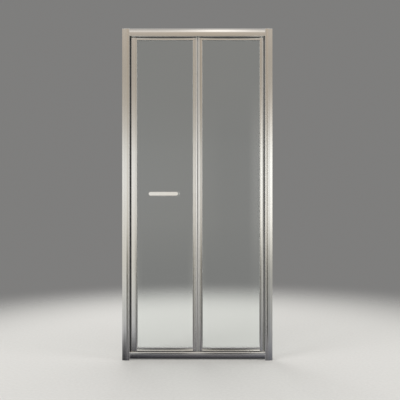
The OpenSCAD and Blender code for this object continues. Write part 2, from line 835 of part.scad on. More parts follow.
// Nylon plugs in both ends of an outer stile, bored for its pins
module end_plugs(day, pin_d) {
    for (z = [leaf_z0, leaf_z1 - plug_l]) along_z(z, z + plug_l) difference() {
        children();
        plug_pockets(day);
        translate([pivot_x, 0]) circle(d = pin_d + 2 * run_fit);
    }
}
module pivot_plugs() color("whitesmoke") end_plugs(pivot_day, pivot_pin_d) pivot_chamber(fit);
module guide_plugs() color("whitesmoke") on_left() end_plugs(lead_day, guide_pin_d) lead_chamber(fit);

module top_pivot_pin() {
    color("gray") translate([pivot_x, 0, 0]) {
        translate([0, 0, leaf_z1 - pin_grip]) cylinder(h = pin_grip + run_gap + pin_depth, d = pivot_pin_d);
        translate([0, 0, leaf_z1]) cylinder(h = run_gap - 1, r = collar_r);
    }
}
module bottom_pivot_pin() {
    color("gray") translate([pivot_x, 0, 0]) {
        translate([0, 0, sill_h - 1 - pin_depth])
            cylinder(h = pin_grip + run_gap + pin_depth + 1, d = pivot_pin_d);
        translate([0, 0, sill_h - 1 + fit]) cylinder(h = run_gap + 1 - fit, r = collar_r);
    }
}

// Guide pin with a shoulder inside the roller and a head outside it
module guide_pin() {
    shoulder_r = guide_pin_d / 2 + 1.5;
    head_r = guide_pin_d / 2 + 2;
    roller_z = run_gap + roller_gap;
    translate([0, 0, -pin_grip]) cylinder(h = pin_grip + roller_z + roller_w + 1, d = guide_pin_d);
    cylinder(h = roller_z - fit, r = shoulder_r);
    translate([0, 0, roller_z + roller_w + fit]) cylinder(h = 1.5, r = head_r);
}
module top_guide_pin() color("gray") on_left() translate([pivot_x, 0, leaf_z1]) guide_pin();
module bottom_guide_pin() {
    color("gray") on_left() translate([pivot_x, 0, leaf_z0]) mirror([0, 0, 1]) guide_pin();
}

// Nylon wheel with a rim, a thin web and a hub, lying flat on its pin
module guide_roller() {
    bore_r = guide_pin_d / 2 + run_fit;
    hub_r = bore_r + 2.2;
    rim_r = roller_r - 2;
    web = 1.6;
    rotate_extrude() polygon([
        [bore_r, 0], [hub_r, 0], [hub_r, web], [rim_r, web], [rim_r, 0], [roller_r - 1, 0],
        [roller_r, 1], [roller_r, roller_w - 1], [roller_r - 1, roller_w], [rim_r, roller_w],
        [rim_r, roller_w - web], [hub_r, roller_w - web], [hub_r, roller_w], [bore_r, roller_w]
    ]);
}
module top_guide_roller() {
    color("ivory") on_left() translate([pivot_x, 0, header_z + roller_gap]) guide_roller();
}
module bottom_guide_roller() {
    color("ivory") on_left() translate([pivot_x, 0, sill_h - roller_gap - roller_w]) guide_roller();
}

// Wiper under a bottom rail, which leans back over the sill's rear edge
module drip_seal(day) {
    reach = run_gap - drip_gap;
    along_x(hinge_day + 1, day - 1) translate([0, leaf_z0]) mirror([0, 1]) {
        translate([drip_y, 0]) rotate(-90) t_root(drip_neck_w, drip_neck_d, drip_head_w, drip_head_d);
        translate([drip_y - 3, 0]) square([6, 1]);
        polygon([
            [drip_y - 1, 0.5], [drip_y + 1.4, 0.5], [drip_tip_y, reach], [drip_tip_y - drip_tip_w, reach]
        ]);
    }
}
module pivot_drip_seal() color("dimgray") drip_seal(pivot_day);
module lead_drip_seal() color("dimgray") on_left() drip_seal(lead_day);

module lead_magnet() {
    reach = jamb_gap - jamb_magnet_t - magnet_gap;
    color("dimgray") on_left() along_z(leaf_z0, leaf_z1) {
        translate([leaf_edge, 0]) mirror([1, 0]) wide_root();
        translate([leaf_edge, -strip_face_w / 2]) square([reach, strip_face_w]);
    }
}

// ---- centre hinge ----

// Full-height strip with two open sockets, one round each stile's nose
module hinge_strip() {
    mouth_from = 147;
    mouth_to = 320;
    mouth = [for (i = [0:4]) mouth_from + i * (mouth_to - mouth_from) / 4];
    color("gray") along_z(leaf_z0, leaf_z1) difference() {
        union() {
            for (side = [0, 1]) mirror([side, 0]) translate([-hinge_x, hinge_y]) difference() {
                circle(r = strip_r);
                polygon(concat([[0, 0]], [for (a = mouth) 20 * [cos(a), sin(a)]]));
            }
            translate([-1.6, hinge_y - 3.6]) square([3.2, 7.2]);
        }
        for (side = [-1, 1]) translate([side * hinge_x, hinge_y]) circle(r = socket_r);
    }
}

// Steel link between the two hinge pins, one above and one below the leaves
module hinge_link() {
    linear_extrude(link_t) difference() {
        union() {
            translate([-hinge_x, hinge_y - link_bar_w / 2]) square([hinge_spacing, link_bar_w]);
            for (side = [-1, 1]) translate([side * hinge_x, hinge_y]) circle(r = link_eye_r);
        }
        for (side = [-1, 1]) translate([side * hinge_x, hinge_y]) circle(d = hinge_pin_d + 2 * run_fit);
    }
}
module hinge_link_top() color("gray") translate([0, 0, leaf_z1 + link_gap]) hinge_link();
module hinge_link_bottom() color("gray") translate([0, 0, leaf_z0 - link_gap - link_t]) hinge_link();

// Pin with a thin head beyond the link, seen from the leaf's end outwards
module hinge_pin() {
    head_z = link_gap + link_t + pin_head_gap;
    translate([0, 0, -hinge_pin_grip]) cylinder(h = hinge_pin_grip + head_z + 0.4, d = hinge_pin_d);
    translate([0, 0, head_z]) cylinder(h = pin_head_t, r = pin_head_r);
}
module hinge_pins() {
    translate([hinge_x, hinge_y, leaf_z1]) hinge_pin();
    translate([hinge_x, hinge_y, leaf_z0]) mirror([0, 0, 1]) hinge_pin();
}
module pivot_hinge_pins() color("gray") hinge_pins();
module lead_hinge_pins() color("gray") on_left() hinge_pins();

// ---- handle ----

// Places a form at both posts, with its own z axis along -Y, out of the door
module at_posts() {
    for (side = [-1, 1])
        translate([handle_x + side * post_spacing / 2, 0, handle_z]) rotate([90, 0, 0]) children();
}

// Flat bar with round ends and softened edges
module handle_bar() {
    edge = 3;
    half_h = handle_h / 2;
    end_x = handle_l / 2 - half_h;
    slab = [
        [0, 0], [half_h - edge, 0], [half_h, edge * 0.6], [half_h, handle_t - edge],
        [half_h - edge, handle_t], [0, handle_t]
    ];
    for (side = [0, 1]) mirror([side, 0, 0]) translate([end_x, 0, 0]) rotate_extrude() polygon(slab);
    for (side = [0, 1]) mirror([0, side, 0]) translate([-end_x, 0, 0]) rotate([90, 0, 90])
        linear_extrude(2 * end_x) polygon(slab);
}
module outer_bar() {
    translate([handle_x, -handle_reach, handle_z]) rotate([90, 0, 0]) handle_bar();
}

// Round post between the bar and the glass, bored for the through bolt
module outer_posts() {
    post_z = glass_t / 2 + washer_t;
    at_posts() difference() {
        translate([0, 0, post_z]) cylinder(h = handle_reach - post_z, d = post_d);
        translate([0, 0, post_z - 1]) cylinder(h = bolt_depth + 1 + fit, d = handle_bolt_d + 0.1);
    }
}
module handle_outer_bar() color("white") on_left() outer_bar();
module handle_outer_posts() color("white") on_left() outer_posts();
module handle_inner_bar() color("white") on_left() mirror([0, 1, 0]) outer_bar();
module handle_inner_posts() color("white") on_left() mirror([0, 1, 0]) outer_posts();

// Clear washers with a spigot in the glass, under both ends of each bolt
module handle_washers() {
    color("whitesmoke") on_left() for (back = [0, 1]) mirror([0, back, 0]) at_posts()
        difference() {
            union() {
                translate([0, 0, glass_t / 2]) cylinder(h = washer_t, d = post_d + 3);
                translate([0, 0, 0.3]) cylinder(h = glass_t / 2, r = glass_hole_r - fit);
            }
            cylinder(h = glass_t, d = handle_bolt_d + 0.1);
        }
}
module handle_bolts() {
    bolt_l = glass_t + 2 * washer_t + 2 * bolt_depth;
    color("slategray") on_left() at_posts() translate([0, 0, -bolt_l / 2])
        cylinder(h = bolt_l, d = handle_bolt_d);
}

wall_channel_left();
wall_channel_right();
strike_jamb();
pivot_jamb();
header_rail();
sill_rail();
jamb_top_caps();
frame_screws();
jamb_fixing_screws();
jamb_screw_caps();
strike_magnet();
pivot_jamb_seal();
top_pivot_block();
bottom_pivot_block();
pivot_block_screws();
top_track_stop();
bottom_track_stop();
pivot_stile();
pivot_hinge_stile();
pivot_top_rail();
pivot_bottom_rail();
pivot_glass();
pivot_glazing_gasket();
pivot_leaf_screws();
pivot_plugs();
top_pivot_pin();
bottom_pivot_pin();
pivot_hinge_pins();
pivot_drip_seal();
hinge_strip();
hinge_link_top();
hinge_link_bottom();
lead_stile();
lead_hinge_stile();
lead_top_rail();
lead_bottom_rail();
lead_glass();
lead_glazing_gasket();
lead_leaf_screws();
guide_plugs();
top_guide_pin();
bottom_guide_pin();
lead_hinge_pins();
lead_drip_seal();
lead_magnet();
handle_outer_bar();
handle_outer_posts();
handle_inner_bar();
handle_inner_posts();
handle_washers();
handle_bolts();
top_guide_roller();
bottom_guide_roller();
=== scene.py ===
import math

import bmesh
import bpy
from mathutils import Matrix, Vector


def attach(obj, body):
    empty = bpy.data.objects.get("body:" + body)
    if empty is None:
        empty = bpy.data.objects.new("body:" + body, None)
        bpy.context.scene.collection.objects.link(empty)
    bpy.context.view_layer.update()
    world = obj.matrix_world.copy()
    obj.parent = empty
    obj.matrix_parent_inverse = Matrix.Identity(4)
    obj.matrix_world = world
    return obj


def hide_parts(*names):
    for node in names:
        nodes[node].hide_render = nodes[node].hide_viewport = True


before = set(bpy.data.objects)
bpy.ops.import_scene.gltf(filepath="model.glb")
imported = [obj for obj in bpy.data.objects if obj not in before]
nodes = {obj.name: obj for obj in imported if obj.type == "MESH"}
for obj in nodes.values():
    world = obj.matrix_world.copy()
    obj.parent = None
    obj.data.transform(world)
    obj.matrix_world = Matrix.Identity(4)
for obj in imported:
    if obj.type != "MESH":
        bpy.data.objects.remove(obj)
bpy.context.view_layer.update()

scene = bpy.context.scene


# ---- Camera ----
# The camera stands 3.4 m in front of the door, to the right of its middle and
# at about half its height. It looks straight ahead, and the lens shift frames
# the door.

camera = bpy.data.objects.new("Camera", bpy.data.cameras.new("Camera"))
camera.location = (0.273, -3.434, 0.935)
camera.rotation_euler = (math.radians(90), 0, 0)
camera.data.lens = 53.5
camera.data.sensor_width = 36
camera.data.shift_x = -0.1125
camera.data.shift_y = -0.0075
scene.collection.objects.link(camera)
scene.camera = camera
scene.view_settings.view_transform = "Standard"


# ---- Studio light ----
# A plain pale studio with a soft grey backdrop. What the metal mirrors is
# painted apart: in front a ceiling with one warm lamp, and a bright horizon
# all round.


def add_node(tree, kind, links=None, **settings):
    """Adds a shader node; links holds its inputs, as numbers or as other nodes' outputs."""
    node = tree.nodes.new("ShaderNode" + kind)
    for name, value in settings.items():
        setattr(node, name, value)
    for name, value in (links or {}).items():
        if isinstance(value, bpy.types.NodeSocket):
            tree.links.new(value, node.inputs[name])
        else:
            node.inputs[name].default_value = value
    return node


def shade_steps(node, steps):
    """Sets the stops of a colour ramp, each as (place, colour)."""
    ramp = node.color_ramp
    while len(ramp.elements) < len(steps):
        ramp.elements.new(0.5)
    for element, (place, colour) in zip(ramp.elements, steps):
        element.position = place
        element.color = (*colour, 1)


scene.world = bpy.data.worlds.new("Studio")
scene.world.use_nodes = True
studio = scene.world.node_tree
studio.nodes.clear()
direction = add_node(studio, "TexCoord").outputs["Generated"]
axes = add_node(studio, "SeparateXYZ", {0: direction}).outputs
height = add_node(studio, "MapRange", {0: axes["Z"], 1: -1, 2: 1}).outputs[0]
flattened = add_node(studio, "VectorMath", {0: direction, 1: (1, 1, 0)}, operation="MULTIPLY")
heading = add_node(studio, "VectorMath", {0: flattened.outputs[0]}, operation="NORMALIZE")
compass = add_node(studio, "SeparateXYZ", {0: heading.outputs[0]}).outputs

# In front: dark floor, wall, and a ceiling that is brightest over the camera
ceiling = add_node(studio, "ValToRGB", {0: height})
shade_steps(ceiling, [
    (0.370, (0.022, 0.022, 0.026)), (0.400, (0.30, 0.30, 0.30)), (0.500, (0.62, 0.60, 0.56)),
    (0.631, (0.53, 0.465, 0.395)), (0.735, (0.84, 0.79, 0.73)), (0.841, (0.66, 0.62, 0.57)),
    (0.920, (0.50, 0.47, 0.44)), (1.000, (0.70, 0.68, 0.66)),
])

# A soft warm lamp under the ceiling, which the header's roll mirrors
lamp_left, lamp_right = -0.115, 0.035
span = add_node(studio, "MapRange", {0: axes["X"], 1: lamp_left, 2: lamp_right}).outputs[0]
lamp_width = add_node(studio, "ValToRGB", {0: span})
lamp_width.color_ramp.interpolation = "EASE"
shade_steps(lamp_width, [(0.0, (0, 0, 0)), (0.5, (1, 0.94, 0.87)), (1.0, (0, 0, 0))])
lamp_height = add_node(studio, "ValToRGB", {0: height})
shade_steps(lamp_height, [(0.68, (0, 0, 0)), (0.79, (1, 1, 1)), (0.97, (0, 0, 0))])
glow = add_node(
    studio, "VectorMath", {0: lamp_width.outputs[0], 1: lamp_height.outputs[0]},
    operation="MULTIPLY",
)
ahead = add_node(
    studio, "VectorMath", {0: ceiling.outputs[0], 1: glow.outputs[0]}, operation="ADD"
)

# To the sides and behind: a grey floor, a bright horizon and a pale ceiling
wrap = add_node(studio, "ValToRGB", {0: height})
shade_steps(wrap, [
    (0.25, (0.30, 0.30, 0.29)), (0.40, (0.50, 0.49, 0.47)), (0.50, (1.0, 0.98, 0.95)),
    (0.63, (0.72, 0.70, 0.67)), (0.75, (0.80, 0.79, 0.77)),
])
front_begins, front_full = -0.70, -0.86
front = add_node(
    studio, "MapRange", {0: compass["Y"], 1: front_begins, 2: front_full},
    interpolation_type="SMOOTHSTEP",
).outputs[0]
mirrored = add_node(
    studio, "MixRGB", {0: front, 1: wrap.outputs[0], 2: ahead.outputs[0]}
).outputs[0]

# Metal sees the mirrored surroundings, a straight view the backdrop, and all
# other light comes from a pale room
ray = add_node(studio, "LightPath").outputs
in_metal = add_node(
    studio, "Math", {0: ray["Is Glossy Ray"], 1: ray["Is Transmission Ray"]},
    operation="SUBTRACT", use_clamp=True,
).outputs[0]
straight = add_node(
    studio, "Math", {0: ray["Is Camera Ray"], 1: ray["Is Transmission Ray"]}, operation="MAXIMUM"
).outputs[0]
pale_room, grey_backdrop = (0.80, 0.79, 0.77, 1), (0.21, 0.208, 0.204, 1)
plain = add_node(studio, "MixRGB", {0: straight, 1: pale_room, 2: grey_backdrop}).outputs[0]
seen = add_node(studio, "MixRGB", {0: in_metal, 1: plain, 2: mirrored}).outputs[0]
backdrop = add_node(studio, "Background", {"Color": seen, "Strength": 1.0})
add_node(studio, "OutputWorld", {"Surface": backdrop.outputs[0]})


# ---- Mirrored room ----
# A painted card behind the camera, which only the metal and the glass mirror:
# a dark floor, a lit middle that is brightest at the right, and a dim top.

card_half, card_y, card_low, card_high = 3.5, -3.5, -1.2, 3.2
paint_left, paint_right = -2.5, 2.5
card = bpy.data.objects.new("Room card", bpy.data.meshes.new("Room card"))
mesh = bmesh.new()
mesh.faces.new([
    mesh.verts.new((x, card_y, z)) for x, z in (
        (-card_half, card_low), (card_half, card_low),
        (card_half, card_high), (-card_half, card_high),
    )
])
mesh.to_mesh(card.data)
mesh.free()
room = bpy.data.materials.new("Painted room")
room.use_nodes = True
tree = room.node_tree
tree.nodes.clear()
spot = add_node(tree, "SeparateXYZ", {0: add_node(tree, "TexCoord").outputs["Object"]}).outputs
level = add_node(tree, "MapRange", {0: spot["Z"], 1: card_low, 2: card_high}).outputs[0]
along = add_node(tree, "MapRange", {0: spot["X"], 1: paint_left, 2: paint_right}).outputs[0]
walls = add_node(tree, "ValToRGB", {0: level})
shade_steps(walls, [
    (0.045, (0.026, 0.026, 0.030)), (0.076, (0.055, 0.055, 0.062)), (0.101, (0.15, 0.15, 0.155)),
    (0.122, (0.48, 0.48, 0.485)), (0.200, (0.58, 0.58, 0.555)), (0.322, (0.64, 0.62, 0.56)),
    (0.424, (0.73, 0.71, 0.66)), (0.520, (0.82, 0.81, 0.775)), (0.600, (0.78, 0.77, 0.73)),
    (0.660, (0.61, 0.58, 0.53)), (0.740, (0.49, 0.445, 0.385)), (0.850, (0.47, 0.42, 0.355)),
    (0.910, (0.53, 0.465, 0.395)), (1.000, (0.62, 0.56, 0.49)),
])
# How bright the middle, the lower wall and the floor are from left to right,
# as red, green and blue. They are stated in quarters, because a ramp ends at 1,
# and the zones say how much each counts by height.
sides = add_node(tree, "ValToRGB", {0: along})
shade_steps(sides, [
    (0.000, (0.235, 0.26, 0.25)), (0.270, (0.290, 0.29, 0.22)), (0.302, (0.257, 0.29, 0.18)),
    (0.316, (0.253, 0.06, 0.50)), (0.330, (0.250, 0.06, 0.58)), (0.420, (0.240, 0.06, 0.68)),
    (0.432, (0.239, 0.31, 0.71)), (0.453, (0.236, 0.31, 0.74)), (0.465, (0.235, 0.035, 0.76)),
    (0.505, (0.140, 0.035, 0.89)), (0.562, (0.140, 0.035, 0.88)), (0.580, (0.52, 0.17, 0.95)),
    (0.620, (0.42, 0.21, 0.95)), (0.665, (0.20, 0.11, 0.80)), (0.755, (0.35, 0.16, 0.90)),
    (0.850, (0.40, 0.22, 1.00)),
])
zones = add_node(tree, "ValToRGB", {0: level})
shade_steps(zones, [
    (0.090, (0, 0, 1)), (0.112, (0, 1, 0)), (0.290, (0, 1, 0)), (0.420, (1, 0, 0)),
    (0.660, (1, 0, 0)), (0.790, (0, 0, 0)),
])
swing = add_node(
    tree, "VectorMath", {0: sides.outputs[0], 1: (4, 4, 4), 2: (-1, -1, -1)},
    operation="MULTIPLY_ADD",
)
shift = add_node(
    tree, "VectorMath", {0: swing.outputs[0], 1: zones.outputs[0]}, operation="DOT_PRODUCT"
)
gain = add_node(tree, "Math", {0: shift.outputs["Value"], 1: 1.0}).outputs[0]
warmth = add_node(tree, "ValToRGB", {0: along})
shade_steps(warmth, [
    (0.32, (1, 1, 1)), (0.42, (1, 0.972, 0.932)), (0.54, (1, 0.968, 0.928)), (0.60, (1, 1, 1)),
    (0.80, (0.96, 0.98, 1)),
])
tinted = add_node(
    tree, "MixRGB", {0: 1.0, 1: walls.outputs[0], 2: warmth.outputs[0]}, blend_type="MULTIPLY"
).outputs[0]
lit = add_node(tree, "Emission", {"Color": tinted, "Strength": gain})
add_node(tree, "OutputMaterial", {"Surface": lit.outputs[0]})
card.data.materials.append(room)
card.visible_camera = False
card.visible_diffuse = False
card.visible_transmission = False
card.visible_shadow = False
scene.collection.objects.link(card)


# ---- Lamps ----
# Three soft boxes give the plastic and the glass edges their shading. No
# surface mirrors them.

door_middle = Vector((0, 0, 0.9))


def softbox(name, place, size, watts):
    """A rectangular lamp behind white cloth, turned to the door's middle."""
    lamp = bpy.data.objects.new(name, bpy.data.lights.new(name, "AREA"))
    lamp.data.shape = "RECTANGLE"
    lamp.data.size, lamp.data.size_y = size
    lamp.data.energy = watts
    lamp.location = place
    lamp.rotation_euler = (door_middle - Vector(place)).to_track_quat("-Z", "Y").to_euler()
    lamp.visible_camera = False
    lamp.visible_transmission = False
    lamp.visible_glossy = False
    scene.collection.objects.link(lamp)


softbox("Left softbox", (-2.6, -2.4, 2.6), (1.6, 1.6), 34)
softbox("Right softbox", (2.9, -1.2, 2.2), (1.2, 1.8), 22)
softbox("Back softbox", (-1.2, 3.0, 2.4), (1.6, 1.6), 26)


# ---- Floor ----
# Plain pale floor under the door. It thins out with distance, so that no
# horizon line shows.


def noise(tree, place, scale, detail):
    """A cloudy pattern from 0 to 1, finer with a higher scale."""
    return add_node(
        tree, "TexNoise", {"Vector": place, "Scale": scale, "Detail": detail}
    ).outputs[0]


def tones(tree, pattern, low, high, start=0.3, stop=0.7):
    """A colour that goes from low to high where the pattern goes from start to stop."""
    ramp = add_node(tree, "ValToRGB", {0: pattern})
    shade_steps(ramp, [(start, low), (stop, high)])
    return ramp.outputs[0]


floor_radius, floor_drop = 3.6, 0.0005
thins_from, gone_at = 1.1, 3.3
floor = bpy.data.objects.new("Floor", bpy.data.meshes.new("Floor"))
mesh = bmesh.new()
bmesh.ops.create_circle(mesh, cap_ends=True, radius=floor_radius, segments=96)
mesh.to_mesh(floor.data)
mesh.free()
paper = bpy.data.materials.new("Pale floor")
paper.use_nodes = True
tree = paper.node_tree
tree.nodes.clear()
place = add_node(tree, "TexCoord").outputs["Object"]
distance = add_node(tree, "VectorMath", {0: place}, operation="LENGTH").outputs["Value"]
thin = add_node(
    tree, "MapRange", {0: distance, 1: thins_from, 2: gone_at}, interpolation_type="SMOOTHERSTEP"
).outputs[0]
tone = tones(tree, noise(tree, place, 60.0, 4.0), (0.66, 0.655, 0.64), (0.70, 0.695, 0.68))
matt = add_node(tree, "BsdfDiffuse", {"Color": tone})
clear = add_node(tree, "BsdfTransparent")
blend = add_node(tree, "MixShader", {0: thin, 1: matt.outputs[0], 2: clear.outputs[0]})
add_node(tree, "OutputMaterial", {"Surface": blend.outputs[0]})
floor.data.materials.append(paper)
floor.location.z = -floor_drop
floor.visible_glossy = False
scene.collection.objects.link(floor)


# ---- Wall channels, jambs, header and sill ----
# Drawn aluminium sections, bright dipped and silver anodised. Each is cut to
# length from a bar, so its fine die lines run along it.


def smooth_faces():
    """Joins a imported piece's split corners and shades it smooth between its arrises."""
    weld, arris_from = 1e-6, math.radians(30)
    tree = bpy.data.node_groups.new("Smooth between arrises", "GeometryNodeTree")
    for way in ("INPUT", "OUTPUT"):
        tree.interface.new_socket("Geometry", in_out=way, socket_type="NodeSocketGeometry")
    begin, end = (tree.nodes.new("NodeGroup" + way) for way in ("Input", "Output"))
    join = tree.nodes.new("GeometryNodeMergeByDistance")
    join.inputs["Distance"].default_value = weld
    plain = tree.nodes.new("GeometryNodeRemoveAttribute")
    plain.inputs["Name"].default_value = "custom_normal"
    faces = tree.nodes.new("GeometryNodeSetShadeSmooth")
    edges = tree.nodes.new("GeometryNodeSetShadeSmooth")
    edges.domain = "EDGE"
    turn = tree.nodes.new("GeometryNodeInputMeshEdgeAngle")
    gentle = tree.nodes.new("FunctionNodeCompare")
    gentle.operation = "LESS_THAN"
    gentle.inputs[1].default_value = arris_from
    chain = [begin, join, plain, faces, edges, end]
    for a, b in zip(chain, chain[1:]):
        tree.links.new(a.outputs[0], b.inputs[0])
    tree.links.new(turn.outputs["Unsigned Angle"], gentle.inputs[0])
    tree.links.new(gentle.outputs[0], edges.inputs["Shade Smooth"])
    return tree


smoothing = smooth_faces()


def dress(name, material, arris=0.0):
    """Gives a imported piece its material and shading, and rounds its arrises by the radius arris."""
    flat_within, arris_from = math.radians(0.5), math.radians(35)
    piece = nodes[name]
    piece.modifiers.new("Smooth", "NODES").node_group = smoothing
    if arris:
        flat = piece.modifiers.new("Flat faces", "DECIMATE")
        flat.decimate_type = "DISSOLVE"
        flat.angle_limit = flat_within
        edge = piece.modifiers.new("Arris", "BEVEL")
        edge.width = arris
        edge.segments = 2
        edge.limit_method = "ANGLE"
        edge.angle_limit = arris_from
        edge.harden_normals = True
        edge.use_clamp_overlap = False
    for held in piece.material_slots:
        held.material = material


def new_material(name, metallic=0.0, ior=1.5):
    """Returns a one-shader material, its node tree, the shader's inputs and object coordinates."""
    material = bpy.data.materials.new(name)
    material.use_nodes = True
    tree = material.node_tree
    shader = tree.nodes["Principled BSDF"].inputs
    shader["Metallic"].default_value = metallic
    shader["IOR"].default_value = ior
    return material, tree, shader, add_node(tree, "TexCoord").outputs["Object"]


def spread(tree, pattern, start, stop, low, high):
    """A value that goes from low to high where the pattern goes from start to stop."""
    return add_node(
        tree, "MapRange", {0: pattern, 1: start, 2: stop, 3: low, 4: high}
    ).outputs[0]


def finish_surface(tree, shader, colour, roughness, relief, strength, depth):
    """Links colour, roughness and a relief that is depth metres deep to the shader."""
    bump = add_node(tree, "Bump", {"Height": relief, "Strength": strength, "Distance": depth})
    tree.links.new(colour, shader["Base Color"])
    tree.links.new(roughness, shader["Roughness"])
    tree.links.new(bump.outputs[0], shader["Normal"])


def drawn_aluminium(name, x, y, z):
    """Anodised aluminium with x, y and z die lines per metre, fewest along the bar, and painted shade
    in its hollows.
    """
    material, tree, shader, place = new_material(name, metallic=1.0)
    close = add_node(tree, "Mapping", {"Vector": place, "Scale": (x, y, z)}).outputs[0]
    # Bands are nine times as wide as the lines and three times as long
    wide = add_node(tree, "Mapping", {"Vector": place, "Scale": (x / 9, y / 9, z / 3)}).outputs[0]
    lines = noise(tree, close, 1.0, 3.0)
    bands = noise(tree, wide, 1.0, 2.0)
    haze = noise(tree, place, 7.0, 5.0)
    tone = tones(tree, bands, (0.785, 0.78, 0.765), (0.835, 0.83, 0.82), 0.25, 0.75)
    # Painted shade: grooves and corners are darkened by how enclosed they are, standing in for the
    # shade that falls there
    openness = add_node(
        tree, "AmbientOcclusion", {"Distance": 0.005}, samples=6, only_local=True
    ).outputs["AO"]
    painted_shade = tones(tree, openness, (0.42, 0.42, 0.42), (1, 1, 1), 0.35, 0.85)
    tone_with_painted_shade = add_node(
        tree, "MixRGB", {0: 1.0, 1: tone, 2: painted_shade}, blend_type="MULTIPLY"
    ).outputs[0]
    fine = spread(tree, lines, 0.25, 0.75, 0.08, 0.14)
    smear = spread(tree, haze, 0.35, 0.75, 0.0, 0.04)
    rough = add_node(tree, "Math", {0: fine, 1: smear}).outputs[0]
    finish_surface(tree, shader, tone_with_painted_shade, rough, lines, 0.10, 0.00004)
    return material


upright_aluminium = drawn_aluminium("Drawn aluminium upright", 900, 900, 2.2)
level_aluminium = drawn_aluminium("Drawn aluminium level", 2.2, 900, 900)

for name in ("wall_channel_left", "wall_channel_right", "strike_jamb", "pivot_jamb"):
    dress(name, upright_aluminium)
for name in ("header_rail", "sill_rail"):
    dress(name, level_aluminium)


# ---- Frame screws and fixing screws ----
# Stainless pan-head screws with a hexagon socket. The heads are turned, so
# they carry fine tool marks.


def turned_steel(name, tone_low, tone_high, rough_low, rough_high):
    """Bright steel with fine tool marks and a light handling haze."""
    material, tree, shader, place = new_material(name, metallic=1.0)
    marks = noise(tree, place, 1800.0, 2.0)
    haze = noise(tree, place, 160.0, 4.0)
    rough = spread(tree, marks, 0.3, 0.7, rough_low, rough_high)
    tone = tones(tree, haze, tone_low, tone_high)
    finish_surface(tree, shader, tone, rough, marks, 0.15, 0.00003)
    return material


screw_steel = turned_steel("Stainless steel", (0.55, 0.54, 0.52), (0.66, 0.65, 0.63), 0.2, 0.34)
for name in ("frame_screws", "jamb_fixing_screws"):
    dress(name, screw_steel, arris=0.00025)


# ---- Jamb top caps and screw caps ----
# Moulded silver-grey plastic with a fine spark texture. They push into the
# jamb tops and snap over the screw heads.


def moulded_plastic(name, low, high, rough, grain_scale, ior=1.49):
    """Injection-moulded plastic with a spark-eroded grain and a faint mottle."""
    material, tree, shader, place = new_material(name, ior=ior)
    grain = noise(tree, place, grain_scale, 3.0)
    mottle = noise(tree, place, 45.0, 3.0)
    gloss = spread(tree, grain, 0.3, 0.7, rough - 0.06, rough + 0.06)
    finish_surface(tree, shader, tones(tree, mottle, low, high), gloss, grain, 0.25, 0.00005)
    return material


cap_plastic = moulded_plastic(
    "Silver-grey plastic", (0.42, 0.42, 0.41), (0.50, 0.50, 0.49), 0.42, 2600
)
for name in ("jamb_top_caps", "jamb_screw_caps"):
    dress(name, cap_plastic, arris=0.0004)


# ---- Magnetic strips ----
# Soft dark grey PVC profiles with a magnet inside, one in the strike jamb and
# one in the leading leaf. They meet when the door shuts.

magnet_plastic = moulded_plastic(
    "Magnet strip plastic", (0.060, 0.062, 0.066), (0.085, 0.087, 0.09), 0.5, 1900
)
for name in ("strike_magnet", "lead_magnet"):
    dress(name, magnet_plastic)


# ---- Jamb seal and drip seals ----
# Soft extruded seals: a bulb that closes the gap beside the pivot stile, and
# wipers under the bottom rails that lean over the sill's rear edge.

seal_rubber = moulded_plastic(
    "Grey seal rubber", (0.16, 0.165, 0.165), (0.20, 0.205, 0.205), 0.55, 1500, ior=1.52
)
for name in ("pivot_jamb_seal", "pivot_drip_seal", "lead_drip_seal"):
    dress(name, seal_rubber)


# ---- Pivot blocks and track stops ----
# Machined and moulded nylon. The blocks sit in the ends of both tracks and
# carry the pivot leaf's pins.


def natural_nylon(name):
    """Off-white nylon, a little waxy, that lets light into its surface."""
    material, tree, shader, place = new_material(name, ior=1.53)
    cloud = noise(tree, place, 120.0, 4.0)
    grain = noise(tree, place, 2200.0, 2.0)
    tone = tones(tree, cloud, (0.71, 0.69, 0.63), (0.80, 0.785, 0.73))
    gloss = spread(tree, grain, 0.3, 0.7, 0.34, 0.46)
    finish_surface(tree, shader, tone, gloss, grain, 0.2, 0.00004)
    shader["Subsurface Weight"].default_value = 0.15
    shader["Subsurface Scale"].default_value = 0.0015
    return material


nylon = natural_nylon("Natural nylon")
for name in ("top_pivot_block", "bottom_pivot_block", "top_track_stop", "bottom_track_stop"):
    dress(name, nylon, arris=0.0003)
dress("pivot_block_screws", screw_steel, arris=0.0002)


# ---- Leaf stiles and rails ----
# Slim drawn sections that hold the panes. The stiles run full height, and the
# rails are screwed between them.

for name in ("pivot_stile", "pivot_hinge_stile", "lead_stile", "lead_hinge_stile"):
    dress(name, upright_aluminium)
for name in ("pivot_top_rail", "pivot_bottom_rail", "lead_top_rail", "lead_bottom_rail"):
    dress(name, level_aluminium)


# ---- Leaf screws and plugs ----
# Small pan-head screws through the stile walls into the rails, and nylon
# plugs in the stile ends.

for name in ("pivot_leaf_screws", "lead_leaf_screws"):
    dress(name, screw_steel, arris=0.0002)
for name in ("pivot_plugs", "guide_plugs"):
    dress(name, nylon, arris=0.0003)


# ---- Panes ----
# Toughened clear glass, 6 mm thick, with polished edges. It takes a faint
# green from its own thickness.


def clear_glass(name):
    """Clear float glass that lets the lamps' light straight through to what is behind it."""
    material, tree, shader, place = new_material(name, ior=1.52)
    shader["Transmission Weight"].default_value = 1.0
    shader["Roughness"].default_value = 0.0
    tint = tones(tree, noise(tree, place, 2.2, 2.0), (0.955, 0.985, 0.970), (0.965, 0.990, 0.978))
    tree.links.new(tint, shader["Base Color"])
    surface = tree.nodes["Principled BSDF"].outputs[0]
    shadow = add_node(tree, "LightPath").outputs["Is Shadow Ray"]
    open_glass = add_node(tree, "BsdfTransparent", {"Color": (0.93, 0.965, 0.95, 1)})
    both = add_node(tree, "MixShader", {0: shadow, 1: surface, 2: open_glass.outputs[0]})
    tree.links.new(both.outputs[0], tree.nodes["Material Output"].inputs["Surface"])
    return material


